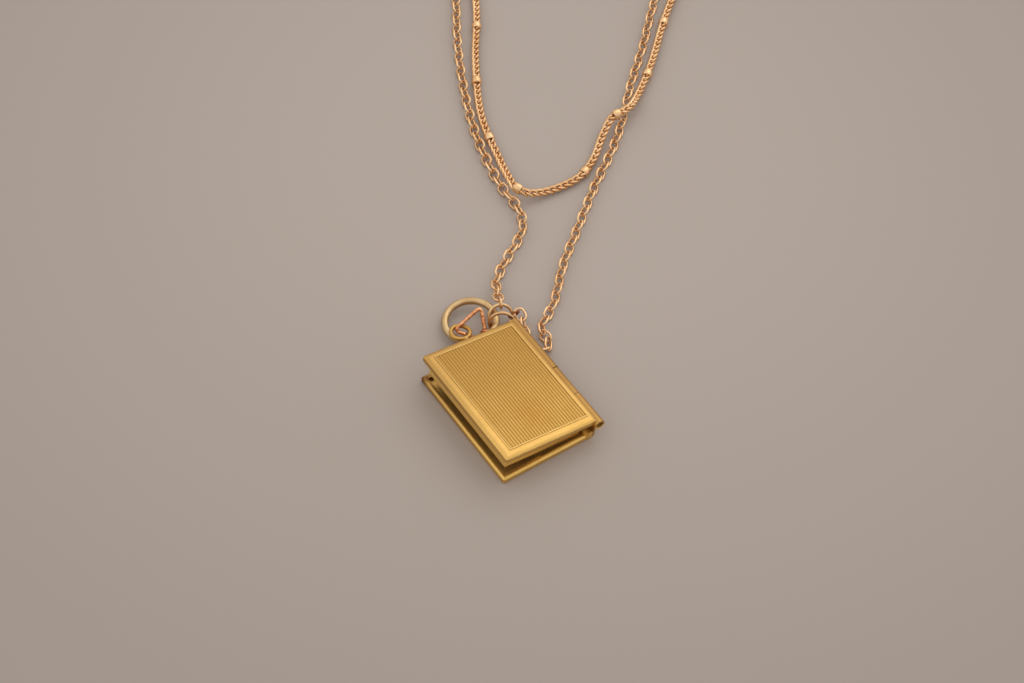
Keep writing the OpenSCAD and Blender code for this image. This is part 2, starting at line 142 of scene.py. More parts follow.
@dataclass
class Surface:
    """Points in millimetres, faces as point numbers, and one tone for each point."""

    points: Array
    faces: Array
    tone: Array

    @staticmethod
    def from_grid(grid: Array, closed_rows: bool, closed_columns: bool) -> "Surface":
        """Covers a grid of points with four-sided faces.

        The face at row i and column j joins points (i, j), (i + 1, j), (i + 1, j + 1) and
        (i, j + 1); a closed direction wraps round to its start.

        Args:
            grid: Points as rows by columns by 3.
            closed_rows: Whether the last row joins the first.
            closed_columns: Whether the last column joins the first.

        Returns:
            The surface, with the middle tone all over.
        """
        rows, columns = grid.shape[:2]
        i, j = np.meshgrid(np.arange(rows if closed_rows else rows - 1),
                           np.arange(columns if closed_columns else columns - 1), indexing="ij")
        after_i, after_j = (i + 1) % rows, (j + 1) % columns
        faces = np.stack([i * columns + j, after_i * columns + j,
                          after_i * columns + after_j, i * columns + after_j], axis=-1)
        points = grid.reshape(-1, 3)
        return Surface(points, faces.reshape(-1, 4), np.full(len(points), MIDDLE_TONE))

    def copies(self, places: Array, turns: Array, tones: Array) -> "Surface":
        """Repeats the surface: each copy is turned about the origin, then moved to its place.

        Args:
            places: Centres of the copies, n by 3.
            turns: Rotations of the copies, n by 3 by 3.
            tones: One tone for each copy.

        Returns:
            All copies as one surface.
        """
        points = np.einsum("nij,vj->nvi", turns, self.points) + places[:, None, :]
        steps = np.arange(len(places))[:, None, None] * len(self.points)
        faces = self.faces[None] + steps
        tone = np.repeat(tones, len(self.points))
        return Surface(points.reshape(-1, 3), faces.reshape(-1, 4), tone)

    @staticmethod
    def joined(*parts: "Surface") -> "Surface":
        """Puts several surfaces into one.

        Args:
            *parts: The surfaces to join.

        Returns:
            One surface with all their faces.
        """
        counts = np.array([len(part.points) for part in parts])
        starts = np.concatenate([[0], np.cumsum(counts)[:-1]])
        faces = [part.faces + start for part, start in zip(parts, starts)]
        return Surface(np.concatenate([part.points for part in parts]), np.concatenate(faces),
                       np.concatenate([part.tone for part in parts]))

    def piece(self, name: str, body: Body, slot: Slot, finish: bpy.types.Material) -> bpy.types.Object:
        """Makes the surface a smooth mesh object that rides on a body.

        Args:
            name: Name of the object.
            body: The body that it moves with.
            slot: Not used.
            finish: Its material.

        Returns:
            The new object, at the origin and unturned.
        """
        mesh = bpy.data.meshes.new(name)
        mesh.vertices.add(len(self.points))
        mesh.vertices.foreach_set("co", (self.points * MM).astype(np.float32).ravel())
        mesh.loops.add(self.faces.size)
        mesh.loops.foreach_set("vertex_index", self.faces.astype(np.int32).ravel())
        mesh.polygons.add(len(self.faces))
        mesh.polygons.foreach_set("loop_start", np.arange(0, self.faces.size, 4, dtype=np.int32))
        mesh.polygons.foreach_set("use_smooth", np.ones(len(self.faces), dtype=bool))
        tone = mesh.attributes.new("tone", "FLOAT", "POINT")
        tone.data.foreach_set("value", self.tone.astype(np.float32))
        mesh.update(calc_edges=True)
        mesh.materials.append(finish)
        obj = added(name, mesh)
        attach(obj, body.value)
        log.info("%s: %d faces on %s", name, len(self.faces), body.value)
        return obj


def wire_along(path: Array, outward: Array, radius: float, around: int) -> Surface:
    """Carries a round wire along a closed level path.

    The point at angle a of a station is its centre, plus the radius times cos a outward, plus the
    radius times sin a upward, so the faces look outwards on a path that runs anticlockwise.

    Args:
        path: Centres of the stations, n by 3.
        outward: Level directions away from the loop's middle, n by 3.
        radius: Radius of the wire.
        around: Number of points round the wire.

    Returns:
        The wire's surface.
    """
    angle = np.arange(around) * 2 * np.pi / around
    across = (np.cos(angle)[None, :, None] * outward[:, None, :]
              + np.sin(angle)[None, :, None] * UPWARD)
    return Surface.from_grid(path[:, None, :] + radius * across, True, True)


def directions_round(count: int, start: float = 0.0) -> Array:
    """Gives unit directions round a level circle, (cos t, sin t, 0) at equal steps of t.

    Args:
        count: Number of directions.
        start: The first direction's share of a step.

    Returns:
        The directions, count by 3.
    """
    angle = (np.arange(count) + start) * 2 * np.pi / count
    return np.stack([np.cos(angle), np.sin(angle), 0 * angle], axis=1)


def turned_about_x(profile: Array, around: int) -> Surface:
    """Spins a closed profile about the X axis.

    A profile point at x and distance r goes to (x, r cos a, r sin a) for each angle a.

    Args:
        profile: Points of a closed outline as x and distance, anticlockwise.
        around: Number of angles.

    Returns:
        The solid's surface, its faces outwards.
    """
    angle = np.arange(around) * 2 * np.pi / around
    x, reach = profile[:, 0][:, None], profile[:, 1][:, None]
    grid = np.stack([x + 0 * angle[None], reach * np.cos(angle)[None],
                     reach * np.sin(angle)[None]], axis=-1)
    return Surface.from_grid(grid[::-1], True, True)


# Routes of the chains


def smooth_curve(points: Array, steps: int) -> Array:
    """Draws a smooth curve through the points of a route.

    Between points b and c, with neighbours a and d, the curve at share t is
    b + t/2 ((c - a) + t ((2a - 5b + 4c - d) + t (3b - 3c + d - a))). The missing neighbour at
    each end is the mirror image of the next point but one.

    Args:
        points: The route's points, n by 3.
        steps: Number of samples for each stretch.

    Returns:
        The samples along the whole route, its last point included.
    """
    padded = np.concatenate([[2 * points[0] - points[1]], points, [2 * points[-1] - points[-2]]])
    a, b, c, d = (padded[k:len(padded) - 3 + k, None, :] for k in range(4))
    t = (np.arange(steps) / steps)[None, :, None]
    curve = b + t / 2 * ((c - a) + t * ((2 * a - 5 * b + 4 * c - d) + t * (3 * b - 3 * c + d - a)))
    return np.concatenate([curve.reshape(-1, 3), points[-1:]])


@dataclass
class Track:
    """A curve with the distance run along it."""

    curve: Array
    run: Array = field(init=False)

    def __post_init__(self) -> None:
        """Adds up the distance from point to point."""
        legs = np.linalg.norm(np.diff(self.curve, axis=0), axis=1)
        self.run = np.concatenate([[0], np.cumsum(legs)])

    @property
    def length(self) -> float:
        """Length of the curve."""
        return float(self.run[-1])

    def at(self, distance: Array) -> Array:
        """Finds the points at given distances.

        Args:
            distance: Distances from the start.

        Returns:
            The points there, n by 3.
        """
        return np.stack([np.interp(distance, self.run, self.curve[:, k]) for k in range(3)], axis=1)

    def directions(self, distance: Array, reach: float) -> Array:
        """Finds the direction of travel at given distances.

        Args:
            distance: Distances from the start.
            reach: Half the stretch over which the direction is taken.

        Returns:
            Unit directions, n by 3.
        """
        ahead = self.at(np.minimum(distance + reach, self.length))
        back = self.at(np.maximum(distance - reach, 0))
        return (ahead - back) / np.linalg.norm(ahead - back, axis=1, keepdims=True)


def headings(directions: Array) -> tuple[Array, Array]:
    """Splits directions into a rise above the level and a heading about Z, in radians."""
    length = np.linalg.norm(directions, axis=1)
    return np.arcsin(directions[:, 2] / length), np.arctan2(directions[:, 1], directions[:, 0])


# Shader nodes from Python expressions

Number = Union["Term", float]


class Term:
    """A node's output that takes part in Python sums, each sum adding its Math node."""

    def __init__(self, shader: "Shader", socket: bpy.types.NodeSocket) -> None:
        """Wraps an output.

        Args:
            shader: The material that the node belongs to.
            socket: The output.
        """
        self.shader = shader
        self.socket = socket

    def sum(self, operation: str, first: Number, second: Number = 0.0) -> "Term":
        """Adds a Math node.

        Args:
            operation: The node's operation.
            first: Its first value.
            second: Its second value.

        Returns:
            The node's result.
        """
        return self.shader.node("ShaderNodeMath", {"operation": operation}, {0: first, 1: second})

    def __add__(self, other: Number) -> "Term":
        """Adds a value."""
        return self.sum("ADD", self, other)

    def __radd__(self, other: Number) -> "Term":
        """Adds this to a value."""
        return self.sum("ADD", other, self)

    def __sub__(self, other: Number) -> "Term":
        """Takes a value away."""
        return self.sum("SUBTRACT", self, other)

    def __rsub__(self, other: Number) -> "Term":
        """Takes this away from a value."""
        return self.sum("SUBTRACT", other, self)

    def __mul__(self, other: Number) -> "Term":
        """Multiplies by a value."""
        return self.sum("MULTIPLY", self, other)

    def __rmul__(self, other: Number) -> "Term":
        """Multiplies a value by this."""
        return self.sum("MULTIPLY", other, self)

    def between(self, low: float, high: float) -> "Term":
        """Maps this to a smooth share that is 0 at low and 1 at high.

        Args:
            low: Value that gives 0.
            high: Value that gives 1.

        Returns:
            The share.
        """
        settings = {"interpolation_type": "SMOOTHSTEP", "clamp": True}
        values = {"Value": self, "From Min": low, "From Max": high}
        return self.shader.node("ShaderNodeMapRange", settings, values)


class Shader:
    """One material's nodes."""

    def __init__(self, name: str) -> None:
        """Starts an empty material.

        Args:
            name: Name of the material.
        """
        self.material = bpy.data.materials.new(name)
        self.material.use_nodes = True
        self.tree = self.material.node_tree
        self.tree.nodes.clear()

    @classmethod
    def of_tree(cls, tree: bpy.types.NodeTree) -> "Shader":
        """Works on the nodes of something else, such as the world, which are cleared first.

        Args:
            tree: The nodes.

        Returns:
            A shader that adds to them.
        """
        shader = cls.__new__(cls)
        shader.tree = tree
        tree.nodes.clear()
        return shader

    def node(self, kind: str, settings: dict[str, Any], inputs: dict[Union[str, int], Any],
             output: Union[str, int] = 0) -> Term:
        """Adds a node, sets it up and links it.

        Args:
            kind: Type of the node.
            settings: Its settings, set first.
            inputs: Values or terms for its sockets, by name or number.
            output: The output that is wanted, by name or number.

        Returns:
            That output.
        """
        made = self.tree.nodes.new(kind)
        for key, value in settings.items():
            setattr(made, key, value)
        for key, value in inputs.items():
            if isinstance(value, Term):
                self.tree.links.new(value.socket, made.inputs[key])
            else:
                made.inputs[key].default_value = value
        return Term(self, made.outputs[output])

    def place(self, scale: Union[float, Triple] = 1.0, turn: Triple = (0.0, 0.0, 0.0),
              shift: Triple = (0.0, 0.0, 0.0)) -> Term:
        """Gives the piece's own coordinates in millimetres, scaled, turned and shifted.

        Args:
            scale: Scale of the pattern, for all axes or each.
            turn: Angles of the turn, in radians.
            shift: Distance moved after the turn.

        Returns:
            The coordinates.
        """
        own = self.node("ShaderNodeTexCoord", {}, {}, "Object")
        sizes = Vector((scale,) * 3 if isinstance(scale, float) else scale) / MM
        values = {"Vector": own, "Scale": sizes, "Rotation": turn, "Location": shift}
        return self.node("ShaderNodeMapping", {"vector_type": "POINT"}, values)

    def noise(self, where: Term, detail: float = 4.0, rough: float = 0.6) -> Term:
        """Adds soft noise, one step of it to each unit of the coordinates.

        Args:
            where: Its coordinates.
            detail: Its detail.
            rough: Its roughness.

        Returns:
            Noise about 0.5.
        """
        values = {"Vector": where, "Scale": 1.0, "Detail": detail, "Roughness": rough}
        return self.node("ShaderNodeTexNoise", {}, values)

    def mix(self, share: Number, first: Any, second: Any) -> Term:
        """Mixes two colours.

        Args:
            share: 0 gives the first colour and 1 the second.
            first: The first colour.
            second: The second colour.

        Returns:
            The mixed colour.
        """
        # The node's colours go into its sockets 6 and 7 and come out of 2
        values = {0: share, 6: first, 7: second}
        return self.node("ShaderNodeMix", {"data_type": "RGBA"}, values, 2)

    def finish(self, inputs: dict[str, Any]) -> bpy.types.Material:
        """Adds the main shader and the output.

        Args:
            inputs: Values or terms of the main shader's sockets.

        Returns:
            The finished material.
        """
        self.node_output(self.node("ShaderNodeBsdfPrincipled", {}, inputs))
        return self.material

    def node_output(self, main: Term, kind: str = "ShaderNodeOutputMaterial") -> None:
        """Links a shader to the output.

        Args:
            main: The shader.
            kind: Type of the output node.
        """
        made = self.tree.nodes.new(kind)
        self.tree.links.new(main.socket, made.inputs["Surface"])


# Finishes

# Patterns that all metals share: scales are repeats in a millimetre, depths are millimetres
CLOUD_RANGE = (0.35, 0.65)
GLOSS_SCALE = 2.5
GRAIN_SCALE = 9.0
GRAIN_DEPTH = 0.1
SCRATCH_SCALE = (14.0, 0.9, 14.0)
SCRATCH_TURN = 0.35
SCRATCH_SHARE = 0.4
DENT_SCALE = 1.6
DENT_DEPTH = 0.5
# Painted shade: narrow gaps and hollows turn towards each metal's brown by how hidden they are
HOLLOW_RANGE = (0.25, 0.95)
HOLLOW_ROUGHNESS = 0.25

# Patterns and soft edges of the covers
BRUSH_SCALE = (0.9, 6.0, 2.0)
BRUSH_RANGE = (0.4, 0.75)
STAIN_SCALE = 0.6
EDGE_BLEND = 0.05
SPINE_BLEND = 0.4
WALL_BLEND = 0.3


@dataclass(frozen=True)
class Metal:
    """A worn metal: a cloudy colour, painted brown shade in its narrow gaps, fine scratches and a soft
    gloss.
    """

    name: str
    bright: Triple
    dull: Triple
    # Colour of the painted shade in narrow gaps; the covers' brush marks use it too
    hollow: Triple
    gloss: float
    gloss_change: float = 0.08
    cloud_size: float = 3.0
    hollow_reach: float = 0.6
    hollow_shade_share: float = 0.6
    grain: float = 0.05
    dents: float = 0.0
    tone_share: float = 0.0

    def tones(self, shader: Shader) -> Term:
        """Works out the cloudy colour, before the painted shade of its narrow gaps is laid over it.

        Args:
            shader: The material's nodes.

        Returns:
            The colour.
        """
        clouds = shader.noise(shader.place(1 / self.cloud_size)).between(*CLOUD_RANGE)
        if self.tone_share:
            tone = shader.node("ShaderNodeAttribute", {"attribute_name": "tone"}, {}, "Fac")
            clouds = clouds * (1 - self.tone_share) + tone * self.tone_share
        return shader.mix(clouds, linear(*self.dull), linear(*self.bright))

    def hollows(self, shader: Shader) -> Term:
        """Works out the painted shade: how hidden each point is, from 0 in the open to 1 in a narrow
        gap.

        Args:
            shader: The material's nodes.

        Returns:
            The share of the painted shade's brown colour.
        """
        values = {"Distance": self.hollow_reach * MM}
        open_share = shader.node("ShaderNodeAmbientOcclusion", {"samples": 8}, values, "AO")
        return (1 - open_share).between(*HOLLOW_RANGE) * self.hollow_shade_share

    def gloss_map(self, shader: Shader) -> Term:
        """Works out the roughness, which changes in small clouds.

        Args:
            shader: The material's nodes.

        Returns:
            The roughness.
        """
        clouds = shader.noise(shader.place(GLOSS_SCALE))
        return clouds * (2 * self.gloss_change) + (self.gloss - self.gloss_change)

    def relief(self, shader: Shader) -> Term:
        """Works out the normal of a surface with a fine grain, scratches and hammered dents.

        Args:
            shader: The material's nodes.

        Returns:
            The normal.
        """
        grain = shader.noise(shader.place(GRAIN_SCALE), rough=0.65)
        along = shader.place(SCRATCH_SCALE, turn=(0.0, 0.0, SCRATCH_TURN))
        scratches = shader.noise(along, detail=2.0, rough=0.5)
        height = grain * (1 - SCRATCH_SHARE) + scratches * SCRATCH_SHARE
        values = {"Strength": self.grain, "Distance": GRAIN_DEPTH * MM, "Height": height}
        fine = shader.node("ShaderNodeBump", {}, values)
        if not self.dents:
            return fine
        pits = shader.noise(shader.place(DENT_SCALE), detail=1.0, rough=0.4)
        values = {"Strength": self.dents, "Distance": DENT_DEPTH * MM, "Height": pits, "Normal": fine}
        return shader.node("ShaderNodeBump", {}, values)

    def material(self) -> bpy.types.Material:
        """Makes the material.

        Returns:
            The finished material.
        """
        shader = Shader(self.name)
        hollow = self.hollows(shader)
        # Painted shade: hidden places turn brown
        colour = shader.mix(hollow, self.tones(shader), linear(*self.hollow))
        rough = self.gloss_map(shader) + hollow * HOLLOW_ROUGHNESS
        return shader.finish({"Base Color": colour, "Roughness": rough, "Metallic": 1.0,
                              "Normal": self.relief(shader)})


@dataclass(frozen=True)
class Stain:
    """A soft round stain: its middle, its reach, its colour and how strongly it covers."""

    at: Triple
    reach: float
    colour: Triple
    share: float

    def over(self, shader: Shader, own: Term, cloud: Term, base: Term) -> Term:
        """Lays the stain over a colour.

        Args:
            shader: The material's nodes.
            own: The surface's coordinates.
            cloud: Noise that makes the stain's edge uneven.
            base: The colour under it.

        Returns:
            The stained colour.
        """
        away = shader.node("ShaderNodeVectorMath", {"operation": "DISTANCE"},
                           {0: own, 1: self.at}, "Value")
        inside = 1 - (away + (cloud - 0.5) * self.reach).between(0.0, self.reach)
        return shader.mix(inside * self.share, base, linear(*self.colour))


@dataclass(frozen=True)
class CoverGold(Metal):
    """The covers' gold: painted shade in grooves and on two sides, painted highlights, painted light on
    the page wall, brush marks, stains.
    """

    open_angle: float = 0.0
    hinge: Triple = (9.95, 0.0, 3.75)
    plate_z: float = 4.75
    rib_h: float = 0.09
    line_h: float = 0.17
    panel: Four = (-7.8, 8.6, -11.45, 11.8)
    # Painted shade in the grooves between the ribs
    groove_shade_share: float = 0.9
    groove_shade_colour: Triple = (172, 126, 54)
    # Painted highlight on the tops of the raised lines
    line_highlight_share: float = 0.3
    line_highlight_colour: Triple = (252, 220, 146)
    # Painted shade on the spine side and towards the head
    spine_x: float = 9.3
    spine_shade_share: float = 0.8
    side_shade_colour: Triple = (178, 136, 78)
    head_y: float = 11.0
    head_shade_share: float = 0.6
    # Painted light: a pale bright gold on the lower parts of the cover, its page wall
    wall_z: float = 3.6
    wall_light_share: float = 0.0
    wall_light_colour: Triple = (252, 216, 132)
    brush_share: float = 0.16
    stains: tuple[Stain, ...] = ()

    def shut(self, shader: Shader) -> Term:
        """Gives the cover's coordinates as they are when the locket is shut.

        Args:
            shader: The material's nodes.

        Returns:
            The coordinates in millimetres, turned back about the hinge by the open angle.
        """
        hinge = Vector(self.hinge)
        turn = Matrix.Rotation(-math.radians(self.open_angle), 3, "Y")
        shift = hinge - turn @ hinge
        return shader.place(1.0, (0.0, -math.radians(self.open_angle), 0.0), tuple(shift))

    @staticmethod
    def past(where: Term, limit: float) -> Term:
        """Gives 1 past a limit and 0 before it, with a narrow soft edge."""
        return where.between(limit - EDGE_BLEND, limit + EDGE_BLEND)

    def tones(self, shader: Shader) -> Term:
        """Works out the colour: clouds, brush marks, painted shade, painted light on walls, stains,
        painted shade in grooves and painted highlights.

        Args:
            shader: The material's nodes.

        Returns:
            The colour.
        """
        own = self.shut(shader)
        x, y, z = (shader.node("ShaderNodeSeparateXYZ", {}, {0: own}, axis) for axis in "XYZ")
        brushed = shader.noise(shader.place(BRUSH_SCALE), detail=3.0).between(*BRUSH_RANGE)
        # Brush marks, in the same brown as the painted shade in gaps
        colour = shader.mix(brushed * self.brush_share, super().tones(shader), linear(*self.hollow))
        # Painted shade: the colour dulls towards the head and across the spine side
        darker = y.between(-self.head_y, self.head_y) * self.head_shade_share
        darker = darker + x.between(self.spine_x - SPINE_BLEND, self.spine_x) * self.spine_shade_share
        colour = shader.mix(darker, colour, linear(*self.side_shade_colour))
        # Painted light: parts below wall_z, the page wall, turn a pale bright gold
        wall = (1 - z.between(self.wall_z - WALL_BLEND, self.wall_z)) * self.wall_light_share
        colour = shader.mix(wall, colour, linear(*self.wall_light_colour))
        cloud = shader.noise(shader.place(STAIN_SCALE), detail=3.0)
        for stain in self.stains:
            colour = stain.over(shader, own, cloud, colour)
        left, right, foot, head = self.panel
        ribbed = (self.past(x, left) * (1 - self.past(x, right))
                  * self.past(y, foot) * (1 - self.past(y, head)))
        plate = z.between(self.plate_z - EDGE_BLEND, self.plate_z) * ribbed
        # Painted shade: the grooves between the ribs turn a duller brown gold
        groove_shade = (1 - z.between(self.plate_z, self.plate_z + self.rib_h)) * plate
        colour = shader.mix(groove_shade * self.groove_shade_share, colour, linear(*self.groove_shade_colour))
        # Painted highlight: a pale gold on the tops of the raised lines
        line = z.between(self.plate_z + self.rib_h, self.plate_z + self.line_h)
        return shader.mix(line * self.line_highlight_share, colour, linear(*self.line_highlight_colour))


BACK_GOLD = CoverGold("back_gold", (244, 202, 118), (236, 194, 110), (150, 98, 50), gloss=0.48,
                      gloss_change=0.03, cloud_size=5.0, hollow_shade_share=0.15, hollow_reach=0.3,
                      stains=(Stain((-9.4, 12.9, 1.0), 2.6, (96, 50, 28), 1.0),))
FRONT_GOLD = replace(BACK_GOLD, name="front_gold", bright=(231, 189, 110), dull=(224, 182, 103),
                     open_angle=7.25, wall_light_share=1.0,
                     stains=(Stain((0.3, -6.9, 4.8), 5.0, (206, 138, 62), 0.4),))
# Painted shade: the pin's dark brown stands for the shade inside the hollow hinge barrel
PIN_SHADE_METAL = Metal("pin_shade_brown", (150, 104, 52), (120, 78, 36), (50, 26, 12), gloss=0.5)
RING_GOLD = Metal("ring_gold", (214, 184, 138), (200, 164, 114), (128, 76, 34), gloss=0.38,
                  hollow_shade_share=0.35)
LOOP_GOLD = Metal("loop_gold", (238, 202, 154), (218, 174, 122), (124, 70, 30), gloss=0.36,
                  hollow_shade_share=0.5)
COPPER = Metal("copper_gold", (240, 180, 132), (222, 150, 100), (110, 52, 24), gloss=0.36,
               hollow_shade_share=0.4, grain=0.12, dents=0.55)
DARK_COPPER = Metal("dark_copper", (176, 120, 76), (140, 84, 48), (84, 42, 20), gloss=0.34,
                    hollow_shade_share=0.7)
CHAIN_GOLD = Metal("chain_gold", (249, 211, 164), (234, 185, 132), (150, 86, 42), gloss=0.34,
                   hollow_shade_share=0.3, tone_share=0.5)


# Rings


@dataclass
class Place:
    """Where a loose ring lies: its centre, tilt, the turn of that tilt and its own spin."""

    centre: Triple
    tilt: float
    turn: float
    spin: float = 0.0

    def matrix(self) -> Array:
        """Turns about Z by the spin, about Y by the tilt, then about Z by the turn.

        Returns:
            The rotation, 3 by 3.
        """
        turned = (Matrix.Rotation(math.radians(self.turn), 3, "Z")
                  @ Matrix.Rotation(math.radians(self.tilt), 3, "Y")
                  @ Matrix.Rotation(math.radians(self.spin), 3, "Z"))
        return np.array(turned)

    def put(self, surface: Surface) -> Surface:
        """Moves a surface from the origin to this place."""
        return surface.copies(np.array([self.centre]), self.matrix()[None], np.array([MIDDLE_TONE]))


@dataclass
class RoundRing:
    """A closed ring of round wire."""

    node: str
    radius: float
    wire: float
    place: Place
    metal: Metal
    slot: Slot
    stations: int = 96
    around: int = 20

    def build(self) -> None:
        """Makes the ring and puts it in its solid's place."""
        outward = directions_round(self.stations)
        surface = wire_along(self.radius * outward, outward, self.wire, self.around)
        obj = self.place.put(surface).piece(self.node + "_wire", Body.BACK, self.slot,
                                            self.metal.material())
        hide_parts(self.node)


@dataclass
class TriangleLink:
    """A triangle of round wire with rounded corners."""

    node: str = "triangle_link"
    side: float = 6.6
    wire: float = 0.36
    bend: float = 0.55
    place: Place = field(default_factory=lambda: Place((4.1, 16.65, 2.5), 38.6, -95, 49))
    arc_steps: int = 14
    side_steps: int = 18
    around: int = 18

    def outline(self) -> tuple[Array, Array]:
        """Works out the wire's centre line and its outward directions.

        Each corner is an arc of 120 degrees about a point on the corner's axis, at the distance
        side / sqrt 3 - 2 bend from the middle, and straight runs join the arcs.

        Returns:
            The stations and the outward directions.
        """
        axis = np.radians(np.array([90.0, 210.0, 330.0]))[:, None]
        middle = (self.side / math.sqrt(3) - 2 * self.bend) * np.stack([np.cos(axis), np.sin(axis)], -1)
        angle = axis + np.radians(np.linspace(-60, 60, self.arc_steps))[None]
        out = np.stack([np.cos(angle), np.sin(angle)], axis=-1)
        arcs = middle + self.bend * out
        share = np.linspace(0, 1, self.side_steps + 2)[1:-1][None, :, None]
        ends, starts = arcs[:, -1:], np.roll(arcs[:, :1], -1, axis=0)
        runs = ends * (1 - share) + starts * share
        run_out = np.broadcast_to(out[:, -1:], runs.shape)
        path = np.concatenate([arcs, runs], axis=1).reshape(-1, 2)
        outward = np.concatenate([out, run_out], axis=1).reshape(-1, 2)
        flat = np.zeros((len(path), 1))
        return np.hstack([path, flat]), np.hstack([outward, flat])

    def build(self) -> None:
        """Makes the link and puts it in its solid's place."""
        path, outward = self.outline()
        surface = wire_along(path, outward, self.wire, self.around)
        obj = self.place.put(surface).piece("triangle_wire", Body.BACK, Slot.COPPER, COPPER.material())
        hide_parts(self.node)


@dataclass
class Clasp:
    """The clasp that both chains hook: a slim barrel with an eye at each end."""

    at: Triple = (119.5, 177.5, 1.7)
    turn: float = -10.0
    length: float = 9.0
    radius: float = 1.5
    eye: float = 2.4
    eye_wire: float = 0.4
    overlap: float = 0.3
    hook_z: float = 1.3
    hook_slack: float = 0.455
    edge: float = 0.3
    edge_steps: int = 7
    seam_half: float = 0.12
    seam_floor: float = 0.08
    seam_depth: float = 0.1
    end_hole: float = 0.001
    around: int = 40
    eye_stations: int = 64
    eye_around: int = 16

    @property
    def reach(self) -> float:
        """Distance from the barrel's middle to the middle of an eye."""
        return self.length / 2 + self.eye - self.overlap

    def hook(self, side: int, angle: float) -> Array:
        """Finds the point where a chain hooks an eye.

        Args:
            side: -1 for the left eye and 1 for the right one.
            angle: Direction from the eye's middle, in degrees.

        Returns:
            The point.
        """
        turn, out = math.radians(self.turn), math.radians(angle)
        arm, inner = side * self.reach, self.eye - self.hook_slack
        return np.array([self.at[0] + arm * math.cos(turn) + inner * math.cos(out),
                         self.at[1] + arm * math.sin(turn) + inner * math.sin(out), self.hook_z])

    def barrel(self) -> Surface:
        """Spins the barrel's outline: flat ends, rounded edges and a shallow seam in the middle.

        The outline stops a hair short of the axis, so that no face shrinks to nothing.

        Returns:
            The barrel's surface, its length along X.
        """
        half, r, edge = self.length / 2, self.radius, self.edge
        bend = np.radians(np.linspace(0, 90, self.edge_steps))
        right = np.stack([half - edge + edge * np.sin(bend), r - edge + edge * np.cos(bend)], axis=1)
        low = r - self.seam_depth
        seam = np.array([[-self.seam_half, r], [-self.seam_floor, low],
                         [self.seam_floor, low], [self.seam_half, r]])
        left = right[::-1] * np.array([-1.0, 1.0])
        ends = np.array([[half, self.end_hole], [-half, self.end_hole]])
        outline = np.concatenate([left, seam, right, ends])
        return turned_about_x(outline[::-1], self.around)

    def build(self) -> None:
        """Makes the clasp and puts it in its solid's place."""
        outward = directions_round(self.eye_stations)
        ring = wire_along(self.eye * outward, outward, self.eye_wire, self.eye_around)
        centres = np.array([[side * self.reach, 0, self.hook_z - self.at[2]] for side in (-1, 1)])
        eyes = ring.copies(centres, np.stack([np.eye(3)] * 2), np.full(2, MIDDLE_TONE))
        both = Surface.joined(self.barrel(), eyes)
        surface = Place(self.at, 0.0, self.turn).put(both)
        obj = surface.piece("clasp_barrel", Body.BACK, Slot.CHAIN, CHAIN_GOLD.material())
        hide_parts("clasp")


# Chains


@dataclass(frozen=True)
class OvalLink:
    """A link of round wire: two half circles joined by straight runs, its length along X."""

    wire: float
    width: float
    pitch: float
    play: float
    twist: float = 0.0
    stations: int = 14
    around: int = 6

    def surface(self) -> Surface:
        """Makes the link.

        A station at angle t lies at (side * straight / 2 + bend cos t, bend sin t, 0), the side
        being the sign of cos t. A twisted link is then turned about X by the twist times each
        point's share of the half length.

        Returns:
            The link's surface.
        """
        bend = (self.width - self.wire) / 2
        straight = self.pitch + self.wire + self.play - 2 * bend
        outward = directions_round(self.stations, start=0.5)
        path = bend * outward
        path[:, 0] += np.sign(outward[:, 0]) * straight / 2
        link = wire_along(path, outward, self.wire / 2, self.around)
        share = link.points[:, 0] / (straight / 2 + bend)
        turn = math.radians(self.twist) * share
        x, y, z = link.points.T
        points = np.stack([x, y * np.cos(turn) - z * np.sin(turn),
                           y * np.sin(turn) + z * np.cos(turn)], axis=1)
        return Surface(points, link.faces, link.tone)


CABLE_LINK = OvalLink(wire=0.46, width=2.3, pitch=2.0, play=0.13)
CURB_LINK = OvalLink(wire=0.58, width=1.72, pitch=1.36, play=0.02, twist=48.0, stations=16)


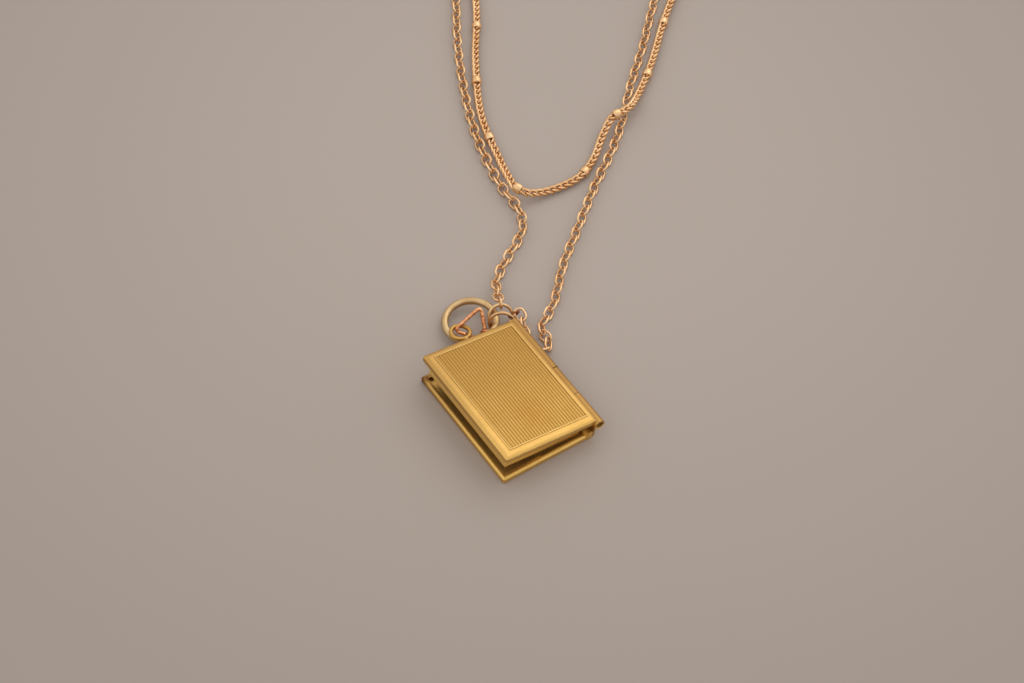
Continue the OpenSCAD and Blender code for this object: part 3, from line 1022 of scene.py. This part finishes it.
@dataclass
class CableChain:
    """The plain chain: two strands of interlocking oval links from the rings to the clasp."""

    clasp: Clasp
    link: OvalLink = CABLE_LINK
    lean: float = 45.0
    easing: float = 0.72
    lie: float = 0.92
    curve_steps: int = 10
    left_hook: float = 175.0
    right_hook: float = -62.0
    tone_seed: int = 7
    left_start: tuple[Four, ...] = (
        (10.25, 17.25, 3.95, -88), (11, 18.95, 3.2, 5), (11.8, 20.65, 2.45, -75),
        (12.7, 22.3, 1.75, 25), (13.8, 23.85, 1.25, -60), (15.2, 25.25, 1, 38))
    left_route: tuple[Pair, ...] = (
        (16.8, 26.5), (19, 27.9), (25.2, 32), (27.5, 36.6), (27.9, 43), (29.4, 50.5), (32.2, 59.4),
        (37, 70.2), (42.8, 80.8), (48.5, 89.8), (57, 104), (62.5, 120), (69, 141), (81.5, 161.5))
    left_end: Triple = (98, 175, 1.1)
    right_start: tuple[Four, ...] = (
        (13.25, 16.05, 1.8, 13), (12.95, 14.15, 1.5, -62), (12.1, 12.45, 1, 41),
        (11.4, 10.65, 1.05, -55), (10.8, 8.75, 1, 56), (11.45, 6.95, 1.05, -51),
        (13.25, 6.6, 1.1, 53), (14.5, 8, 1.05, -51), (14.35, 9.95, 1.05, 51))
    right_route: tuple[Pair, ...] = (
        (15.4, 11.6), (20.4, 14.8), (26.8, 21.1), (33.9, 26.7), (42.7, 33.6), (50.9, 39.4),
        (57.2, 44.6), (64.5, 51.8), (73.5, 59.7), (83.3, 69), (98, 80.5), (115, 93.5),
        (132.5, 110.5), (141.5, 132), (140.5, 153.5))
    right_end: Triple = (133, 168, 1.1)

    def strand(self, start: tuple[Four, ...], route: tuple[Pair, ...], end: Triple,
               hook: Array) -> tuple[Array, Array]:
        """Places one strand's links.

        Neighbouring links lean 45 degrees to either side. Towards the clasp the lean eases to
        flat and upright by the power of the easing that the number of links left gives.

        Args:
            start: Joints and rolls of the first links.
            route: Level points of the route.
            end: The route's last point.
            hook: Where the strand hooks the clasp.

        Returns:
            Centres of the links and their rotations.
        """
        level = np.array([(x, y, self.lie) for x, y in route] + [end])
        track = Track(smooth_curve(np.vstack([level, hook]), self.curve_steps))
        count = round(track.length / self.link.pitch)
        rows = np.array(start, float)
        joints = np.vstack([rows[:, :3], track.at(track.length * np.arange(count + 1) / count)])
        index = np.arange(count)
        lean = np.where(index % 2 == 0, -self.lean, self.lean)
        roll = np.concatenate([rows[:, 3], lean + lean[-1] * self.easing ** (count - 1 - index)])
        rise, heading = headings(np.diff(joints, axis=0))
        return (joints[1:] + joints[:-1]) / 2, turn_matrices(np.radians(roll), rise, heading)

    def build(self) -> None:
        """Makes both strands."""
        left = self.strand(self.left_start, self.left_route, self.left_end,
                           self.clasp.hook(-1, self.left_hook))
        right = self.strand(self.right_start, self.right_route, self.right_end,
                            self.clasp.hook(1, self.right_hook))
        places, turns = (np.concatenate(pair) for pair in zip(left, right))
        tones = np.random.default_rng(self.tone_seed).uniform(0.0, 1.0, len(places))
        chain = self.link.surface().copies(places, turns, tones)
        obj = chain.piece("cable_links", Body.BACK, Slot.CHAIN, CHAIN_GOLD.material())
        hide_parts("cable_chain")


@dataclass
class BeadedChain:
    """The fine chain: twisted links lying close, with a round bead at every step."""

    clasp: Clasp
    link: OvalLink = CURB_LINK
    loop: OvalLink = CABLE_LINK
    loop_sink: float = 0.1
    left_hook: float = 220.0
    right_hook: float = -18.0
    curve_steps: int = 10
    link_seed: int = 11
    roll_swing: float = 24.0
    roll_waves: Pair = (7.0, 11.0)
    bead_step: float = 15.35
    first_bead: float = 9.4
    last_bead: float = 3.0
    bead_radius: float = 0.99
    bead_half: float = 0.8
    bead_bore: float = 0.5
    bead_power: float = 0.7
    bead_stations: int = 16
    bead_around: int = 20
    bead_seed: int = 5
    bead_tones: Pair = (0.3, 0.9)
    route: tuple[Triple, ...] = (
        (101, 171, 1), (85, 158.5, 1), (72.5, 139, 1), (64, 112, 1), (51.9, 87.8, 1),
        (42.4, 73.6, 1), (35, 60.5, 1), (31.3, 48.5, 1.2), (29.8, 43.4, 2.1), (29.3, 40.4, 2.5),
        (31.1, 38.1, 1.9), (35.5, 37.3, 1), (41.5, 37.2, 1), (46.7, 39.5, 1), (51.5, 43.2, 1.6),
        (55.2, 45.4, 2.65), (57.9, 45.5, 2.85), (60.4, 46.1, 2.65), (64.4, 48.9, 1.3),
        (72, 54.8, 1), (86.3, 67.2, 1), (117, 89.5, 1), (137, 108.5, 1), (145.5, 131.5, 1),
        (144, 155.5, 1), (135, 172, 1))

    def ends(self) -> tuple[Array, Array, Array, Array]:
        """Finds the two hooks and the directions in which the chain leaves them.

        Returns:
            The left hook, the right hook, and the unit direction from each.
        """
        left, right = self.clasp.hook(-1, self.left_hook), self.clasp.hook(1, self.right_hook)
        ahead = np.array(self.route[0]) - left, np.array(self.route[-1]) - right
        return (left, right, ahead[0] / np.linalg.norm(ahead[0]), ahead[1] / np.linalg.norm(ahead[1]))

    def track(self) -> Track:
        """Draws the chain's curve between its two end loops.

        Returns:
            The curve.
        """
        left, right, left_ahead, right_ahead = self.ends()
        start = self.loop.pitch + (self.loop.wire + self.loop.play) / 2 - self.loop_sink
        points = np.vstack([left + start * left_ahead, self.route, right + start * right_ahead])
        return Track(smooth_curve(points, self.curve_steps))

    def links(self, track: Track) -> Surface:
        """Lays twisted links along the curve, all alike, with a slow roll from side to side.

        The roll at distance s is the swing times sin(s / 7) cos(s / 11), so it never repeats soon.

        Args:
            track: The chain's curve.

        Returns:
            All links as one surface.
        """
        count = int(track.length / self.link.pitch)
        distance = (np.arange(count) + 0.5) * track.length / count
        rise, heading = headings(track.directions(distance, self.link.pitch / 2))
        first, second = self.roll_waves
        roll = math.radians(self.roll_swing) * np.sin(distance / first) * np.cos(distance / second)
        tones = np.random.default_rng(self.link_seed).uniform(0.0, 1.0, count)
        turns = turn_matrices(roll, rise, heading)
        return self.link.surface().copies(track.at(distance), turns, tones)

    def bead(self) -> Surface:
        """Spins a bead: a bulging outside and a bore, the outline being a flattened oval.

        At angle a the outline lies at the distance middle + reach sin a from the axis, and at
        x = half times the 0.7th power of cos a with its sign kept, which squares it off.

        Returns:
            The bead's surface, its bore along X.
        """
        angle = np.arange(self.bead_stations) * 2 * np.pi / self.bead_stations
        middle = (self.bead_radius + self.bead_bore) / 2
        reach = (self.bead_radius - self.bead_bore) / 2
        square = np.abs(np.cos(angle)) ** self.bead_power * np.sign(np.cos(angle))
        profile = np.stack([self.bead_half * square, middle + reach * np.sin(angle)], axis=1)
        return turned_about_x(profile, self.bead_around)

    def beads(self, track: Track) -> Surface:
        """Strings the beads along the curve at equal steps.

        Args:
            track: The chain's curve.

        Returns:
            All beads as one surface.
        """
        distance = np.arange(self.first_bead, track.length - self.last_bead, self.bead_step)
        rise, heading = headings(track.directions(distance, self.bead_half))
        turns = turn_matrices(np.zeros_like(rise), rise, heading)
        tones = np.random.default_rng(self.bead_seed).uniform(*self.bead_tones, len(distance))
        return self.bead().copies(track.at(distance), turns, tones)

    def loops(self) -> Surface:
        """Makes the two upright loops that hook the clasp.

        Returns:
            Both loops as one surface.
        """
        left, right, left_ahead, right_ahead = self.ends()
        ahead = np.stack([left_ahead, right_ahead])
        places = np.stack([left, right]) + self.loop.pitch / 2 * ahead
        rise, heading = headings(ahead)
        turns = turn_matrices(np.full(2, np.pi / 2), rise, heading)
        return self.loop.surface().copies(places, turns, np.full(2, MIDDLE_TONE))

    def build(self) -> None:
        """Makes the chain with its beads and loops."""
        track = self.track()
        log.info("beaded chain: %.1f mm long", track.length)
        chain = Surface.joined(self.links(track), self.beads(track), self.loops())
        obj = chain.piece("fine_links", Body.BACK, Slot.CHAIN, CHAIN_GOLD.material())
        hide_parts("fine_chain")


# The locket itself, and the studio


@dataclass
class Locket:
    """The covers and the pin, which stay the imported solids."""

    finishes: tuple[tuple[str, Metal], ...] = (
        ("front_cover", FRONT_GOLD), ("back_cover", BACK_GOLD), ("hinge_pin", PIN_SHADE_METAL))

    def dress(self) -> None:
        """Gives each solid its finish."""
        for node, metal in self.finishes:
            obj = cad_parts[node]
            obj.data.materials.clear()
            obj.data.materials.append(metal.material())
            log.info("%s: solid dressed as %s", node, metal.name)


@dataclass(frozen=True)
class Lamp:
    """A soft square light: its name, its place and its size in metres, and its watts."""

    name: str
    at: Triple
    size: Pair
    power: float
    colour: Triple = (255, 250, 244)
    aim: Triple = (0.01, 0.01, 0.0)

    def build(self) -> None:
        """Makes the light and turns it towards the locket."""
        data = bpy.data.lights.new(self.name, "AREA")
        data.shape, data.size, data.size_y = "RECTANGLE", self.size[0], self.size[1]
        data.energy, data.color = self.power, linear(*self.colour)[:3]
        obj = added(self.name, data)
        away = (Vector(self.at) - Vector(self.aim)).to_track_quat("Z", "Y")
        obj.matrix_world = Matrix.Translation(Vector(self.at)) @ away.to_matrix().to_4x4()


@dataclass
class Studio:
    """The camera, the lights and the floor.

    The floor's colour is a painted pool of light: a little lighter at its middle and dimmer at the
    fade's end.
    """

    camera_at: Triple = (-143.84, -182.38, 314.43)
    look_at: Triple = (9.18, 11.83, 0.0)
    roll: float = 5.077
    lens: float = 78.56
    sensor: float = 36.0
    clip: Pair = (0.01, 20.0)
    floor_size: float = 3000.0
    floor_lines: int = 9
    floor_colour: Triple = (169, 157, 149)
    floor_light_pool: float = 9.0
    floor_light_falloff: float = 11.0
    floor_fade: float = 190.0
    floor_middle: Triple = (38.0, 44.0, 0.0)
    floor_gloss: float = 0.85
    floor_grain: float = 0.03
    floor_grain_scale: float = 3.0
    window: Triple = (0.4, 0.2, 0.85)
    window_range: Pair = (-0.6, 1.0)
    room_colour: Triple = (255, 252, 248)
    room_light: float = 0.47
    room_change: float = 0.46
    lamps: tuple[Lamp, ...] = (
        Lamp("key", (0.62, 0.26, 0.74), (0.80, 0.66), 1.45),
        Lamp("fill", (-0.62, 0.20, 0.66), (0.80, 0.70), 0.65))

    def place_camera(self) -> None:
        """Puts the camera where the photograph was taken from, rolled about its line of sight."""
        eye, aim = Vector(self.camera_at), Vector(self.look_at)
        back = (eye - aim).normalized()
        right = Vector((0, 0, 1)).cross(back).normalized()
        up = back.cross(right)
        cos, sin = math.cos(math.radians(self.roll)), math.sin(math.radians(self.roll))
        rolled_right, rolled_up = right * cos + up * sin, up * cos - right * sin
        camera = bpy.data.cameras.new("camera")
        camera.lens, camera.sensor_width = self.lens, self.sensor
        camera.clip_start, camera.clip_end = self.clip
        obj = added("camera", camera)
        axes = Matrix((rolled_right, rolled_up, back)).transposed().to_4x4()
        obj.matrix_world = Matrix.Translation(eye * MM) @ axes
        bpy.context.scene.camera = obj

    def lay_floor(self) -> None:
        """Lays a pale sheet under the locket, with a painted pool of light about its middle."""
        half = self.floor_size / 2
        marks = np.linspace(-half, half, self.floor_lines)
        u, v = np.meshgrid(marks, marks, indexing="ij")
        sheet = Surface.from_grid(np.stack([u, v, 0 * u], axis=-1), False, False)
        mesh = bpy.data.meshes.new("floor")
        mesh.from_pydata((sheet.points * MM).tolist(), [], sheet.faces.tolist())
        shader = Shader("pale_board")
        away = shader.node("ShaderNodeVectorMath", {"operation": "DISTANCE"},
                           {0: shader.place(), 1: self.floor_middle}, "Value")
        # Painted light: a pool of light about the middle, fading out
        colour = shader.mix(away.between(0.0, self.floor_fade),
                            linear(*(c + self.floor_light_pool for c in self.floor_colour)),
                            linear(*(c - self.floor_light_falloff for c in self.floor_colour)))
        grain = shader.noise(shader.place(self.floor_grain_scale), detail=3.0, rough=0.5)
        values = {"Strength": self.floor_grain, "Distance": GRAIN_DEPTH * MM, "Height": grain}
        relief = shader.node("ShaderNodeBump", {}, values)
        mesh.materials.append(shader.finish({"Base Color": colour, "Roughness": self.floor_gloss,
                                             "Normal": relief}))
        obj = added("floor", mesh)

    def fill_world(self) -> None:
        """Fills the room with soft light, brightest towards the window."""
        world = bpy.data.worlds.new("room")
        bpy.context.scene.world = world
        world.use_nodes = True
        room = Shader.of_tree(world.node_tree)
        way = room.node("ShaderNodeTexCoord", {}, {}, "Generated")
        facing = room.node("ShaderNodeVectorMath", {"operation": "DOT_PRODUCT"},
                           {0: way, 1: Vector(self.window).normalized()}, "Value")
        strength = facing.between(*self.window_range) * self.room_change + self.room_light
        light = room.node("ShaderNodeBackground", {},
                          {"Color": linear(*self.room_colour), "Strength": strength})
        room.node_output(light, "ShaderNodeOutputWorld")

    def build(self) -> None:
        """Sets up the whole studio."""
        self.place_camera()
        self.lay_floor()
        self.fill_world()
        for lamp in self.lamps:
            lamp.build()
        scene = bpy.context.scene
        scene.view_settings.view_transform = "Standard"
        scene.view_settings.look = "None"
        log.info("studio: camera, floor and lights")


RINGS = (
    RoundRing("large_ring", 4.6, 0.66, Place((4.55, 18.45, 1.8), 5.4, 162), RING_GOLD, Slot.RING),
    RoundRing("connector_ring", 1.55, 0.22, Place((6.05, 14.45, 1.7), 68, 54), COPPER, Slot.COPPER),
    RoundRing("jump_ring_1", 2.2, 0.31, Place((9.65, 16.3, 2.05), 49.4, -110), LOOP_GOLD, Slot.RING),
    RoundRing("jump_ring_2", 2.2, 0.31, Place((8.8, 14.8, 2.45), 75, -123.5), LOOP_GOLD, Slot.RING),
    RoundRing("small_ring", 1.0, 0.2, Place((12.05, 15.6, 1.9), 72, 89), DARK_COPPER, Slot.COPPER),
)


def main() -> None:
    """Builds the studio, dresses the locket, and makes the rings, the triangle link, the clasp and the
    chains.
    """
    logging.basicConfig(level=logging.INFO, format="%(name)s %(message)s")
    Studio().build()
    Locket().dress()
    for ring in RINGS:
        ring.build()
    TriangleLink().build()
    clasp = Clasp()
    clasp.build()
    CableChain(clasp).build()
    BeadedChain(clasp).build()
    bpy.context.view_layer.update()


if __name__ == "__main__":
    main()
